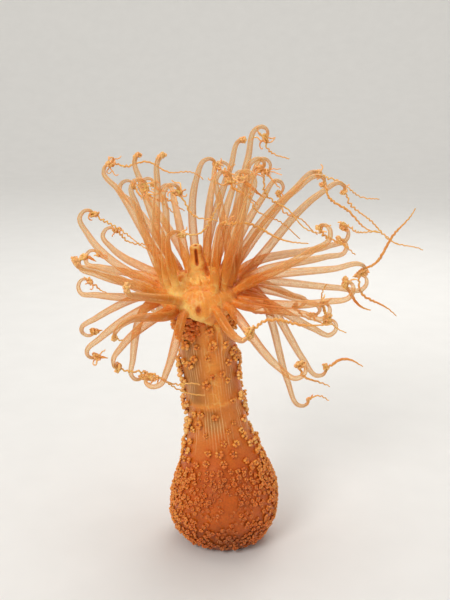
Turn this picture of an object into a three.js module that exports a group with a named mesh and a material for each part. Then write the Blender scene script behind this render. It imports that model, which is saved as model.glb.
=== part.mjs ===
// A berried sea anemone, fully opened: a round base on a flat foot, a tall column, and a crown of
// stinging arms. Millimetres, +Z up, -Y is the front. The origin is the middle of the foot's underside.
import * as THREE from 'three';
import { mergeVertices } from 'three/addons/utils/BufferGeometryUtils.js';

// ---------------------------------------------------------------- driving sizes
const GAP = 0.3;                    // left between parts that touch

// Foot and base: a ball of flesh, cut flat where it grips the ground.
const FOOT_RADIUS = 25;
const FOOT_HEIGHT = 5;
const BALL_RADIUS = 39;             // to the skin; the warts stand on it
const BALL_HEIGHT = 33;             // of the ball's middle
const SHOULDER = 40.5;              // over which the ball narrows to the column
const COLUMN_RADIUS = 20.2;
const SAG = 4;                      // by which the ball bulges to the left, low down
const SAG_HEIGHT = 14;
const SAG_SPREAD = 13;

// Heights along the axis where one part of the body ends and the next begins.
const BASE_TOP = 62;
const COLUMN_MIDDLE = 118;
const COLUMN_TOP = 177;

// The axis stands straight to AXIS_BEND, then leans to the left and a little to the front.
const AXIS_BEND = 25;
const AXIS_BOW = new THREE.Vector3(0, 0, 62);
const AXIS_PULL = new THREE.Vector3(-13, 2, 150);
const AXIS_TOP = new THREE.Vector3(-18, -6, 205);

// The collar is a ring of flesh that carries the arms, with the mouth in its middle.
const COLLAR_RING = 20;             // radius of the ring's middle line
const COLLAR_SWELL = 10;            // radius of its section
const COLLAR_HEIGHT = 195;          // along the axis
const DISC_RADIUS = 13;
const DISC_HEIGHT = 199;
const DISC_RIM = 4;                 // how far the collar stands above the disc's underside
const MOUTH_RADIUS = 9.6;           // of the tall cone that carries the mouth
const MOUTH_HEIGHT = 27;
const LIPS_RADIUS = 3.0;            // round the slit at the top of the cone
const SLIT_LENGTH = 4.4;
const SLIT_WIDTH = 1.6;
const SLIT_DEPTH = 4;
const GROOVE_DEPTH = 1.4;           // of the groove in which the slit runs on down the front

// Warts stand on rings round the body: every other place on the base, and a few by chance above it.
const WART_HEIGHT = 2.4;
const WART_ROW = 6;                 // between one ring and the next
const COLUMN_WARTS = 0.22;          // share of the places on the column that has one
const BASE_SIDES = 32;
const COLUMN_SIDES = 24;
const CROWN_SIDES = 28;
const MOUTH_SIDES = 16;

// Arms: a soft tube, its hooked end, a knot of stings, and the fine thread that it lets out.
const ARM_SIDES = 5;
const ARM_STEPS = 5;
const ROOT_RADIUS = 3.1;
const WAIST_RADIUS = 2.7;           // half way along the tube
const END_RADIUS = 1.7;
const KNOT_RADIUS = 1.9;
const CLUB_RADIUS = 2.2;            // of the end of an arm with no thread
const THREAD_RADIUS = 0.8;
const THREAD_TIP = 0.45;
const THREAD_STEPS = 3;
const HOOK_RADIUS = 6;              // of the curl where it starts
const HOOK_TIGHT = 3.2;             // and where it ends
const HOOK_STEP = 55;               // degrees of curl to one length of tube
const HOOK_PITCH = 0.42;            // how far the curl winds sideways, for each length of travel
const HOOK_SLIM = 0.62;             // share of its thickness that the curl has left where it ends
const DRIFT = new THREE.Vector3(1, -0.1, -0.35).normalize();   // the way the threads drift
const RISE = new THREE.Vector3(0.45, -0.1, 0.9).normalize();       // and the way a few float up
const DRIFT_PULL = 0.55;
const STEM_SHARE = 0.3;             // of the way to its end, that an arm keeps the way its root points
const COURSE_SHARE = 0.35;          // and over which it comes round to its end's own way
const ROOT_SPACING = 7;             // between neighbouring roots, at least
const ROOT_GAP = 0.4;               // between an arm's flat root and the round of the collar
const ARM_CLEARANCE = 0.5;          // between two arms
const ROOT_STEM = 4;                // of an arm, not measured against the collar that it grows from
const BEAD_STEP = 1.5;              // between the points where that is measured
const AIM_STEP = 3;                 // degrees by which an arm's aim is shifted to clear the others
const AIM_SWING = 24;               // and the most it may be shifted sideways
const AIM_LIFT = 15;                // or up and down

// Each arm's pose. It points from the middle of the crown towards azimuth and rise, in degrees, where
// azimuth 0 is the front and 90 the right, and its tube ends at that reach in millimetres. turn bends
// the tube and curl its end, in degrees, clockwise as the front shows them. thread is in millimetres,
// and less than none for a thread that floats up.
const OUTER_ARMS = {
  lean: -10,
  poses: [
    // azimuth, rise, reach, turn, curl, thread
    [-154, -23, 100, 5, 200, 16],
    [-109, -21, 103, -12, -200, 6],
    [-108, -5, 95, 8, 220, 14],
    [-88, -51, 80, -14, -130, 8],
    [-82, -26, 90, -12, -150, 8],
    [-43, -20, 86, -22, -110, 60],
    [-35, -3, 88, -35, -90, 6],
    [-20, -30, 85, 14, 220, 32],
    [20, -5, 86, -30, -70, 52],
    [45, -24, 98, -25, -200, 30],
    [65, -5, 90, 10, -210, 28],
    [69, 5, 108, -15, -180, 28],
    [91, -19, 98, -10, -210, -30],
    [92, -37, 106, -10, -130, 28],
    [101, -10, 88, 6, 150, 12],
    [108, -51, 124, -10, -130, 16],
    [110, -4, 130, -5, -190, 44],
    [132, -14, 112, 6, 160, 18],
    [153, -20, 108, 6, 160, 28],
    [177, -16, 106, 5, 200, 20],
  ],
};
const MIDDLE_ARMS = {
  lean: 30,
  poses: [
    [-153, 29, 128, 0, 200, 14],
    [-141, 31, 120, -5, 210, 18],
    [-131, 38, 125, -8, 110, 72],
    [-126, 18, 98, 30, 160, 40],
    [-115, 7, 96, 5, 220, 8],
    [-106, 29, 103, 35, 160, 56],
    [-90, 12, 86, 10, 110, 10],
    [-61, 19, 95, -5, 50, 0],
    [-26, 14, 97, 8, 60, 0],
    [61, 27, 107, -10, -200, 24],
    [88, 11, 112, -5, 130, -62],
    [109, 11, 114, -5, -160, 18],
    [114, 32, 132, 25, 110, 74],
    [122, 11, 135, -15, -130, 50],
    [127, 36, 130, 12, 70, 50],
    [142, 37, 114, 10, 200, 46],
    [154, 38, 134, 5, 210, 18],
    [159, 51, 127, 5, 50, 0],
  ],
};
const INNER_ARMS = {
  lean: 70,
  poses: [
    [-160, 41, 99, -5, -200, 20],
    [-133, 53, 110, 8, 60, 0],
    [-91, 58, 88, 5, 210, 26],
    [-71, 73, 98, 5, 60, 0],
    [-50, 68, 80, -5, 200, 34],
    [-38, 54, 56, 15, 140, -36],
    [38, 66, 56, 15, 70, 56],
    [47, 60, 97, 0, -210, 20],
    [63, 78, 83, 5, 200, 26],
    [66, 68, 100, 8, 210, 62],
    [95, 45, 114, 22, 130, 52],
    [128, 66, 121, 5, 200, 24],
    [155, 50, 100, 8, 200, 60],
    [172, 40, 118, 10, 210, 20],
    [176, 65, 97, 30, 130, 14],
  ],
};

// ---------------------------------------------------------------- small helpers
const RIGHT = new THREE.Vector3(1, 0, 0);
const BACK = new THREE.Vector3(0, 1, 0);
const UP = new THREE.Vector3(0, 0, 1);
const radians = THREE.MathUtils.degToRad;
const degrees = THREE.MathUtils.radToDeg;

// A fixed number between 0 and 1 for a place counted by side and row.
function chance(side, row) {
  const mixed = Math.sin(side * 12.9898 + row * 78.233) * 43758.5453;
  return mixed - Math.floor(mixed);
}

function flesh(colour, roughness) {
  return new THREE.MeshStandardMaterial({ color: colour, roughness, metalness: 0 });
}

function solid(name, geometry, material) {
  geometry.deleteAttribute('normal');
  geometry.deleteAttribute('uv');
  const mesh = new THREE.Mesh(mergeVertices(geometry, 1e-4), material);
  mesh.geometry.computeVertexNormals();
  mesh.name = name;
  return mesh;
}

// ---------------------------------------------------------------- the axis of the body
const leaning = new THREE.CubicBezierCurve3(
  new THREE.Vector3(0, 0, AXIS_BEND), AXIS_BOW, AXIS_PULL, AXIS_TOP);
const LEANING_LENGTH = leaning.getLength();

// The middle of the body at a height along its axis, with the directions across and along it there.
function axisFrame(height) {
  const middle = new THREE.Vector3(0, 0, height);
  const along = UP.clone();
  if (height > AXIS_BEND) {
    const share = Math.min(1, (height - AXIS_BEND) / LEANING_LENGTH);
    leaning.getPointAt(share, middle);
    leaning.getTangentAt(share, along);
  }
  const across = RIGHT.clone().addScaledVector(along, -RIGHT.dot(along)).normalize();
  const front = across.clone().cross(along);
  return { middle, along, across, front };
}

// The direction out from the axis at an angle, where 0 is the front and 90 the right.
function outward(frame, angle) {
  return frame.across.clone().multiplyScalar(Math.sin(angle)).addScaledVector(frame.front, Math.cos(angle));
}

// ---------------------------------------------------------------- foot, base and column
function skinRadius(height) {
  const above = height - BALL_HEIGHT;
  if (above < 0) {
    const spread = FOOT_RADIUS - Math.sqrt(BALL_RADIUS ** 2 - BALL_HEIGHT ** 2);
    return Math.sqrt(BALL_RADIUS ** 2 - above ** 2) + spread * (above / BALL_HEIGHT) ** 4;
  }
  return COLUMN_RADIUS + (BALL_RADIUS - COLUMN_RADIUS) * Math.exp(-((above / SHOULDER) ** 2));
}

// How far the base bulges out at an angle and a height, all of it on the left.
function sag(angle, height) {
  return SAG * Math.max(0, -Math.sin(angle)) ** 2 * Math.exp(-(((height - SAG_HEIGHT) / SAG_SPREAD) ** 2));
}

// A turned solid whose profile runs up the body's axis, with swell added to each of its points.
function turned(profile, sides, swell = () => 0) {
  const points = profile.map(([radius, height]) => new THREE.Vector2(radius, height));
  const geometry = new THREE.LatheGeometry(points, sides);
  const position = geometry.attributes.position;
  for (let index = 0; index < position.count; index++) {
    const side = Math.floor(index / profile.length) % sides;
    const row = index % profile.length;
    const [radius, height] = profile[row];
    const frame = axisFrame(height);
    const angle = side / sides * 2 * Math.PI;
    const out = radius > 0 ? radius + sag(angle, height) + swell(side, row) : 0;
    const place = frame.middle.addScaledVector(outward(frame, angle), out);
    position.setXYZ(index, place.x, place.y, place.z);
  }
  return geometry;
}

function chequered(side, row) {
  return (side + row) % 2 === 0;
}

function scattered(side, row) {
  return chance(side, row) < COLUMN_WARTS;
}

// A length of the body between two heights, with a wart at each place that hasWart picks.
function bodyLength(from, to, sides, hasWart) {
  const rows = Math.round((to - from) / WART_ROW);
  const profile = [[0, from]];
  for (let row = 0; row <= rows; row++) {
    const height = from + (to - from) * row / rows;
    profile.push([skinRadius(height), height]);
  }
  profile.push([0, to]);
  const swell = (side, row) => (row > 1 && row <= rows && hasWart(side, row) ? WART_HEIGHT : 0);
  return turned(profile, sides, swell);
}

function foot() {
  const top = FOOT_HEIGHT - GAP;
  return turned([[0, 0], [FOOT_RADIUS, 0], [skinRadius(top), top], [0, top]], CROWN_SIDES);
}

// ---------------------------------------------------------------- crown
function collar() {
  const profile = [[0, COLUMN_TOP], [COLUMN_RADIUS, COLUMN_TOP], [COLUMN_RADIUS + 0.6, COLUMN_TOP + 5]];
  for (let tilt = -60; tilt <= 90; tilt += 30) {
    profile.push([
      COLLAR_RING + COLLAR_SWELL * Math.cos(radians(tilt)),
      COLLAR_HEIGHT + COLLAR_SWELL * Math.sin(radians(tilt)),
    ]);
  }
  const bowl = DISC_HEIGHT - GAP;
  profile.push([DISC_RADIUS + 1.5, DISC_HEIGHT + DISC_RIM], [DISC_RADIUS, bowl], [0, bowl]);
  return turned(profile, CROWN_SIDES);
}

function oralDisc() {
  const high = DISC_HEIGHT + DISC_RIM;
  const profile = [
    [0, DISC_HEIGHT], [DISC_RADIUS - GAP, DISC_HEIGHT], [DISC_RADIUS, high - 0.7],
    [DISC_RADIUS - 3, high], [0, high],
  ];
  return turned(profile, COLUMN_SIDES);
}

// A tall cone with a narrow slit between its lips and a groove down its front.
function mouth() {
  const low = DISC_HEIGHT + DISC_RIM + GAP;
  const profile = [
    [0, 0], [MOUTH_RADIUS, 0], [MOUTH_RADIUS - 1.7, MOUTH_HEIGHT * 0.25],
    [MOUTH_RADIUS - 3.4, MOUTH_HEIGHT * 0.5], [LIPS_RADIUS + 1.3, MOUTH_HEIGHT * 0.8],
    [LIPS_RADIUS + 0.9, MOUTH_HEIGHT - 1], [LIPS_RADIUS, MOUTH_HEIGHT],
  ];
  const grooved = [3, 4];
  const lips = profile.length;
  profile.push(
    [SLIT_LENGTH / 2, MOUTH_HEIGHT - 0.8], [SLIT_LENGTH / 3, MOUTH_HEIGHT - SLIT_DEPTH],
    [0, MOUTH_HEIGHT - SLIT_DEPTH]);
  const points = profile.map(([radius, height]) => new THREE.Vector2(radius, height));
  const geometry = new THREE.LatheGeometry(points, MOUTH_SIDES);
  const position = geometry.attributes.position;
  const frame = axisFrame(low);
  for (let index = 0; index < position.count; index++) {
    const row = index % profile.length;
    const side = Math.floor(index / profile.length) % MOUTH_SIDES;
    const narrow = row >= lips ? SLIT_WIDTH / SLIT_LENGTH : 1;
    const groove = side === 0 && grooved.includes(row) ? GROOVE_DEPTH : 0;
    const place = frame.middle.clone().addScaledVector(frame.across, position.getX(index) * narrow);
    place.addScaledVector(frame.front, position.getZ(index) - groove);
    place.addScaledVector(frame.along, position.getY(index));
    position.setXYZ(index, place.x, place.y, place.z);
  }
  return geometry;
}

// ---------------------------------------------------------------- arms
const crown = axisFrame(COLLAR_HEIGHT);

// Roots stand in rows round the collar, each as near as the row allows to the way its arm points.
function rootAngles(row) {
  const angles = row.poses.map(([azimuth]) => azimuth);
  const rowRadius = COLLAR_RING + COLLAR_SWELL * Math.cos(radians(row.lean));
  const spacing = degrees(2 * Math.asin(ROOT_SPACING / 2 / rowRadius));
  for (let pass = 0; pass < 400; pass++) {
    for (let index = 0; index < angles.length; index++) {
      const next = (index + 1) % angles.length;
      const ahead = angles[next] + (next === 0 ? 360 : 0);
      const missing = spacing - (ahead - angles[index]);
      if (missing > 0) {
        angles[index] -= missing / 2;
        angles[next] += missing / 2;
      }
    }
  }
  return angles;
}

function heading(azimuth, rise) {
  const level = Math.cos(radians(rise));
  return new THREE.Vector3(
    Math.sin(radians(azimuth)) * level, -Math.cos(radians(azimuth)) * level, Math.sin(radians(rise)));
}

// The middle line of one arm as stations with a radius each, from its root to the thread's tip.
function armStations(pose, rootAngle, lean, shift) {
  const [azimuth, rise, reach, turn, curl, thread] = pose;
  const threaded = thread !== 0;
  const out = outward(crown, radians(rootAngle));
  const normal = out.clone().multiplyScalar(Math.cos(radians(lean)));
  normal.addScaledVector(crown.along, Math.sin(radians(lean)));
  const root = crown.middle.clone().addScaledVector(out, COLLAR_RING);
  root.addScaledVector(normal, COLLAR_SWELL + ROOT_GAP);

  const end = crown.middle.clone();
  end.addScaledVector(heading(azimuth + shift.azimuth, rise + shift.rise), reach);
  const chord = end.clone().sub(root);
  const length = chord.length();
  chord.normalize();
  const hinge = BACK.clone().addScaledVector(chord, -BACK.dot(chord)).normalize();
  const course = chord.clone().applyAxisAngle(hinge, radians(turn));
  const tube = new THREE.CubicBezierCurve3(
    root, root.clone().addScaledVector(normal, length * STEM_SHARE),
    end.clone().addScaledVector(course, -length * COURSE_SHARE), end);

  const stations = [];
  for (let step = 0; step <= ARM_STEPS; step++) {
    const share = step / ARM_STEPS;
    const slim = share < 0.5
      ? THREE.MathUtils.lerp(ROOT_RADIUS, WAIST_RADIUS, share * 2)
      : THREE.MathUtils.lerp(WAIST_RADIUS, END_RADIUS, share * 2 - 1);
    stations.push({ point: tube.getPointAt(share), radius: slim, along: tube.getTangentAt(share) });
  }

  const hooks = Math.ceil(Math.abs(curl) / HOOK_STEP);
  const tail = threaded ? KNOT_RADIUS : CLUB_RADIUS;
  const point = end.clone();
  for (let step = 1; step <= hooks; step++) {
    const share = step / hooks;
    course.applyAxisAngle(hinge, radians(curl / hooks));
    const travel = radians(Math.abs(curl) / hooks) * THREE.MathUtils.lerp(HOOK_RADIUS, HOOK_TIGHT, share);
    point.addScaledVector(course, travel).addScaledVector(hinge, travel * HOOK_PITCH * shift.winding);
    const radius = step < hooks ? END_RADIUS * THREE.MathUtils.lerp(1, HOOK_SLIM, share) : tail;
    stations.push({ point: point.clone(), radius });
  }

  if (threaded) {
    for (let step = 1; step <= THREAD_STEPS; step++) {
      const share = step / THREAD_STEPS;
      course.lerp(thread > 0 ? DRIFT : RISE, DRIFT_PULL).normalize();
      point.addScaledVector(course, Math.abs(thread) / THREAD_STEPS);
      const radius = THREE.MathUtils.lerp(THREAD_RADIUS, THREAD_TIP, share);
      stations.push({ point: point.clone(), radius });
    }
  }
  return stations;
}

// Balls set close together along a run of stations, to measure how near two arms come.
function beads(stations, skip = 0) {
  const result = [];
  let gone = 0;
  for (let index = 1; index < stations.length; index++) {
    const from = stations[index - 1];
    const to = stations[index];
    const length = from.point.distanceTo(to.point);
    const count = Math.max(1, Math.ceil(length / BEAD_STEP));
    for (let step = 0; step < count; step++) {
      const share = step / count;
      if (gone + length * share >= skip) {
        const place = from.point.clone().lerp(to.point, share);
        result.push({ point: place, radius: THREE.MathUtils.lerp(from.radius, to.radius, share) });
      }
    }
    gone += length;
  }
  return result;
}

function nearest(some, others) {
  let least = Infinity;
  for (const one of some) {
    for (const other of others) {
      const free = one.point.distanceTo(other.point) - one.radius - other.radius;
      least = Math.min(least, free);
    }
  }
  return least;
}

function bodyBeads() {
  const result = [];
  for (let height = BALL_HEIGHT; height < COLLAR_HEIGHT; height += 6) {
    result.push({ point: axisFrame(height).middle, radius: skinRadius(height) + WART_HEIGHT });
  }
  for (let angle = 0; angle < 360; angle += 10) {
    const place = crown.middle.clone().addScaledVector(outward(crown, radians(angle)), COLLAR_RING);
    result.push({ point: place, radius: COLLAR_SWELL });
  }
  result.push({ point: axisFrame(DISC_HEIGHT + MOUTH_RADIUS).middle, radius: MOUTH_RADIUS });
  result.push({ point: axisFrame(DISC_HEIGHT + MOUTH_HEIGHT * 0.7).middle, radius: MOUTH_RADIUS * 0.6 });
  result.push({ point: axisFrame(DISC_HEIGHT + MOUTH_HEIGHT).middle, radius: LIPS_RADIUS + 1 });
  return result;
}

// Small shifts of an arm's aim, nearest first, tried until the arm is clear of all placed before it.
function shifts() {
  const result = [];
  for (let azimuth = -AIM_SWING; azimuth <= AIM_SWING; azimuth += AIM_STEP) {
    for (let rise = -AIM_LIFT; rise <= AIM_LIFT; rise += AIM_STEP) {
      result.push({ azimuth, rise, winding: 1 }, { azimuth, rise, winding: -1 });
    }
  }
  const size = (shift) => Math.hypot(shift.azimuth, shift.rise);
  return result.sort((one, other) => size(one) - size(other));
}

// A tube of any path: a cylinder whose rings are moved to the stations without twisting.
function armGeometry(stations) {
  const steps = stations.length - 1;
  const geometry = new THREE.CylinderGeometry(1, 1, 1, ARM_SIDES, steps);
  const frames = [];
  let normal = new THREE.Vector3(0, 0, 0);
  for (let step = 0; step <= steps; step++) {
    const before = stations[Math.max(0, step - 1)].point;
    const after = stations[Math.min(steps, step + 1)].point;
    const along = step > 0 ? after.clone().sub(before).normalize() : stations[0].along;
    if (step === 0) {
      normal = Math.abs(along.y) < 0.9 ? BACK.clone() : UP.clone();
    }
    normal.addScaledVector(along, -normal.dot(along)).normalize();
    frames.push({ normal: normal.clone(), side: normal.clone().cross(along) });
  }
  const position = geometry.attributes.position;
  for (let index = 0; index < position.count; index++) {
    const step = Math.round((position.getY(index) + 0.5) * steps);
    const { point, radius } = stations[step];
    const place = point.clone().addScaledVector(frames[step].normal, position.getX(index) * radius);
    place.addScaledVector(frames[step].side, position.getZ(index) * radius);
    position.setXYZ(index, place.x, place.y, place.z);
  }
  return geometry;
}

// The first shift of an arm's aim that keeps it clear of everything placed so far.
function settledStations(pose, rootAngle, lean, placed) {
  for (const shift of shifts()) {
    const stations = armStations(pose, rootAngle, lean, shift);
    const clear = placed.every((others, order) =>
      nearest(beads(stations, order === 0 ? ROOT_STEM : 0), others) > ARM_CLEARANCE);
    if (clear) {
      return stations;
    }
  }
  throw new Error(`no clear place for the arm at azimuth ${pose[0]}`);
}

// ---------------------------------------------------------------- the whole animal
const base = bodyLength(FOOT_HEIGHT, BASE_TOP, BASE_SIDES, chequered);
const columnLower = bodyLength(BASE_TOP + GAP, COLUMN_MIDDLE, COLUMN_SIDES, scattered);
const columnUpper = bodyLength(COLUMN_MIDDLE + GAP, COLUMN_TOP - GAP, COLUMN_SIDES, scattered);
const group = new THREE.Group();
group.add(
  solid('pedal_disc', foot(), flesh(0xb8743a, 0.6)),
  solid('base_bulb', base, flesh(0xd58a3c, 0.55)),
  solid('column_lower', columnLower, flesh(0xe09a5c, 0.5)),
  solid('column_upper', columnUpper, flesh(0xe6a266, 0.5)),
  solid('collar', collar(), flesh(0xe07a32, 0.5)),
  solid('oral_disc', oralDisc(), flesh(0xf0a850, 0.45)),
  solid('mouth', mouth(), flesh(0xe88a3a, 0.45)),
);

const placed = [bodyBeads()];
for (const [rowName, row] of Object.entries({ outer: OUTER_ARMS, middle: MIDDLE_ARMS, inner: INNER_ARMS })) {
  const angles = rootAngles(row);
  row.poses.forEach((pose, index) => {
    const stations = settledStations(pose, angles[index], row.lean, placed);
    placed.push(beads(stations));
    const name = `tentacle_${rowName}_${String(index + 1).padStart(2, '0')}`;
    group.add(solid(name, armGeometry(stations), flesh(0xe8b98c, 0.45)));
  });
}

export default group;
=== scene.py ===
# A berried sea anemone, fully opened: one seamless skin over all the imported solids, with its berries,
# its knots of stings and its fine threads. Sizes are in millimetres until a mesh is made.
import math

import bmesh
import bpy
import numpy as np
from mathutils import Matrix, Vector, noise
from mathutils.geometry import delaunay_2d_cdt


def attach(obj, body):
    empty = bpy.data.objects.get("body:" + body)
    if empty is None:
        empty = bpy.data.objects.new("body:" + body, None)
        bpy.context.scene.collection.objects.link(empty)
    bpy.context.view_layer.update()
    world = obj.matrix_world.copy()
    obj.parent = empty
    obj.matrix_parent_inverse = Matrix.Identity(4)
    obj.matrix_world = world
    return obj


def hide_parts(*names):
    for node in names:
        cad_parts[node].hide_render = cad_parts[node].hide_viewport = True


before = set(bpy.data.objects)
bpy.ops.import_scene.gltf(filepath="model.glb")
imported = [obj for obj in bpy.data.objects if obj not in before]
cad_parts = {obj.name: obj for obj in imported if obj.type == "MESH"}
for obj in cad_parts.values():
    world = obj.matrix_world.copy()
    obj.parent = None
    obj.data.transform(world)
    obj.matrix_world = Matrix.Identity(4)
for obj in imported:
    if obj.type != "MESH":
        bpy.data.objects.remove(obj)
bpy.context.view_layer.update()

MM = 0.001
TURN = 2 * math.pi
chance = np.random.default_rng(11)

# ---- sizes of the body, as in the solids
AXIS_BEND = 25  # height to which the axis stands straight
AXIS_CURVE = np.array([(0, 0, AXIS_BEND), (0, 0, 62), (-13, 2, 150), (-18, -6, 205)], float)
FOOT_RADIUS = 25
BALL_RADIUS = 39
BALL_HEIGHT = 33
SHOULDER = 40.5
COLUMN_RADIUS = 20.2
SAG = 4  # by which the ball bulges to the left, low down
SAG_HEIGHT = 14
SAG_SPREAD = 13
COLUMN_TOP = 177
COLLAR_RING = 20
COLLAR_SWELL = 10
COLLAR_HEIGHT = 195
DISC_TOP = 203
MOUTH_RADIUS = 9.6
MOUTH_HEIGHT = 27
LIPS_RADIUS = 3.0
ROOT_LEAST = 2.9  # radius of an arm's root
THREAD_MOST = 0.8  # radius of a thread

# ---- the living skin's own features
SLIT_LENGTH = 4.4
SLIT_WIDTH = 1.6
SLIT_DEPTH = 4
SLIT_RUN = (2.5, 13)  # how far below the lips the slit starts and stops
SLIT_SOFT = 0.9  # half its width down the front of the cone
SLIT_SINK = 1.5  # and its depth there
RING_HEIGHT = 6.5  # of the swollen ring round the foot of the mouth's cone
RING_FOLDS = 13
PLEATS = 41  # folds that run out from the mouth to the arms
SHEET_LIFT = 3  # of the smooth flesh that fills the front under the collar
RING_LIFT = 1.1  # of the folds of the swollen ring
CROWN_LIFT = 1.1  # of the crown's lumps
COLUMN_FOLD = 115  # height of the fold round the column
FOLD_LIFT = 0.6
NOTCHES = ((109, 3.2, 0.9), (88, 2.6, 0.5))  # height, width and depth of the furrows below it
# The fold that runs from the crown down to the right over the front of the column, as angle and height.
FOLD = np.array([(-50, 205), (-31, 202), (-20, 196), (-10, 191), (1, 188), (14, 184), (22, 178),
                 (28, 168), (31, 156)], float)
FOLD_RADIUS = 27  # of the flesh that it lies on
FOLD_HEIGHT = 4.2
FOLD_WIDTH = 2.6
SPOT = (-2, 194.5)  # angle and height of a brown spot just above it

# ---- fineness of the skin
SIDES = 132  # round the body
ROW = 1.55  # between rings of the body
CROWN_ROW = 1.1  # and among the roots of the arms
CROWN_TOP_TILT = 104  # degrees round the collar's section, where the roots' zone starts
CROWN_LOW_TILT = -48  # and where it ends
ARM_SIDES = 12
THREAD_SIDES = 6
TUBE_STEP = 2.1
HOOK_STEP = 1.2
TANGLE_STEP = 0.85
THREAD_STEP = 0.62


# ---- small helpers
def lengths(vectors):
    return np.linalg.norm(vectors, axis=-1)


def unit(vectors):
    return vectors / np.maximum(lengths(vectors)[..., None], 1e-9)


def gone_along(points):
    """How far along a chain of points each of them lies."""
    return np.concatenate([[0], np.cumsum(lengths(np.diff(points, axis=0)))])


def smooth(low, high, values):
    """0 below low, 1 above high and a soft step between them."""
    share = np.clip((np.asarray(values, float) - low) / (high - low), 0, 1)
    return share * share * (3 - 2 * share)


def between(rise, fall, values):
    """1 after a soft rise and before a soft fall, and 0 outside them."""
    return smooth(*rise, values) * (1 - smooth(*fall, values))


def hill(middle, width, values):
    return np.exp(-(((np.asarray(values, float) - middle) / width) ** 2))


def lumps(places, size, seed=0):
    """Soft noise from -1 to 1 whose lumps are about size millimetres across."""
    shift = Vector((seed * 17.3, seed * 5.1, seed * 9.7))
    return np.array([noise.noise(Vector(place) / size + shift) for place in places])


class Line:
    """A smooth line through points, measured along its length."""

    def __init__(self, points):
        points = np.asarray(points, float)
        gaps = np.maximum(lengths(np.diff(points, axis=0)), 1e-6)[:, None]
        slopes = np.diff(points, axis=0) / gaps
        inside = (slopes[:-1] * gaps[1:] + slopes[1:] * gaps[:-1]) / (gaps[1:] + gaps[:-1])
        leans = np.vstack([slopes[:1], inside, slopes[-1:]])
        t = np.linspace(0, 1, 17)[1:, None]
        cube, square = t ** 3, t ** 2
        places, numbers = [points[:1]], [np.zeros(1)]
        for k, gap in enumerate(gaps):
            places.append(
                points[k] * (2 * cube - 3 * square + 1) + points[k + 1] * (3 * square - 2 * cube)
                + leans[k] * gap * (cube - 2 * square + t) + leans[k + 1] * gap * (cube - square))
            numbers.append(k + t[:, 0])
        self.places, self.numbers = np.vstack(places), np.concatenate(numbers)
        self.gone = gone_along(self.places)
        self.length = self.gone[-1]

    def at(self, distances):
        return np.column_stack([np.interp(distances, self.gone, column) for column in self.places.T])

    def number(self, distances):
        """How many of the line's points, and what share of the next gap, lie before each distance."""
        return np.interp(distances, self.gone, self.numbers)


def spaced(start, stop, step):
    return np.linspace(start, stop, max(1, int(round((stop - start) / step))) + 1)


def flowing(points, step):
    line = Line(points)
    return line.at(spaced(0, line.length, step))


# ---- the body's axis and profile
def axis_point(t):
    a, b, c, d = AXIS_CURVE
    t = np.asarray(t, float)[..., None]
    return a * (1 - t) ** 3 + 3 * b * t * (1 - t) ** 2 + 3 * c * t * t * (1 - t) + d * t ** 3


AXIS_SHARES = np.linspace(0, 1, 601)
AXIS_GONE = gone_along(axis_point(AXIS_SHARES))


def axis_frame(height):
    """The body's middle at a height along its axis, and the directions along, across and front there."""
    height = np.atleast_1d(np.asarray(height, float))
    level = np.minimum(height, DISC_TOP)
    t = np.interp(level - AXIS_BEND, AXIS_GONE, AXIS_SHARES)
    straight = level < AXIS_BEND
    nudge = 1e-3
    along = unit(axis_point(np.minimum(t + nudge, 1)) - axis_point(np.maximum(t - nudge, 0)))
    along[straight] = (0, 0, 1)
    middle = axis_point(t)
    middle[straight] = 0
    middle[straight, 2] = level[straight]
    middle = middle + along * (height - level)[:, None]
    across = unit(np.array([1.0, 0, 0]) - along * along[:, :1])
    return middle, along, across, np.cross(across, along)


def skin_radius(height):
    above = height - BALL_HEIGHT
    if above < 0:
        spread = FOOT_RADIUS - math.sqrt(BALL_RADIUS ** 2 - BALL_HEIGHT ** 2)
        return math.sqrt(BALL_RADIUS ** 2 - above ** 2) + spread * (above / BALL_HEIGHT) ** 4
    return COLUMN_RADIUS + (BALL_RADIUS - COLUMN_RADIUS) * math.exp(-((above / SHOULDER) ** 2))


def collar_point(tilt):
    return (COLLAR_RING + COLLAR_SWELL * math.cos(math.radians(tilt)),
            COLLAR_HEIGHT + COLLAR_SWELL * math.sin(math.radians(tilt)))


def body_profile():
    """Radius and height of the skin, from the bottom of the mouth's slit to the middle of the foot."""
    foot_of_cone, lips = DISC_TOP + 0.3, DISC_TOP + 0.3 + MOUTH_HEIGHT
    points = [
        (0, lips - SLIT_DEPTH), (SLIT_LENGTH / 3, lips - SLIT_DEPTH), (SLIT_LENGTH / 2, lips - 1),
        (LIPS_RADIUS, lips), (LIPS_RADIUS + 0.9, lips - 1), (LIPS_RADIUS + 1.3, lips - MOUTH_HEIGHT * 0.2),
        (MOUTH_RADIUS - 3.4, lips - MOUTH_HEIGHT * 0.5), (MOUTH_RADIUS - 1.7, lips - MOUTH_HEIGHT * 0.75),
        (MOUTH_RADIUS - 0.6, foot_of_cone + RING_HEIGHT * 0.8),
        (MOUTH_RADIUS + 1.6, foot_of_cone + RING_HEIGHT),
        (MOUTH_RADIUS + 4.2, foot_of_cone + RING_HEIGHT * 0.8), (MOUTH_RADIUS + 6, foot_of_cone + 1.6),
    ]
    points += [collar_point(tilt) for tilt in range(CROWN_TOP_TILT, -61, -8)]
    points += [(COLUMN_RADIUS + 1.6, 183), (COLUMN_RADIUS + 0.4, COLUMN_TOP)]
    points += [(skin_radius(height), height) for height in range(COLUMN_TOP - 5, 3, -4)]
    points += [(FOOT_RADIUS + 0.4, 0.7), (FOOT_RADIUS - 0.8, 0), (FOOT_RADIUS / 2, 0), (0, 0)]
    return flowing(points, 0.25)


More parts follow.
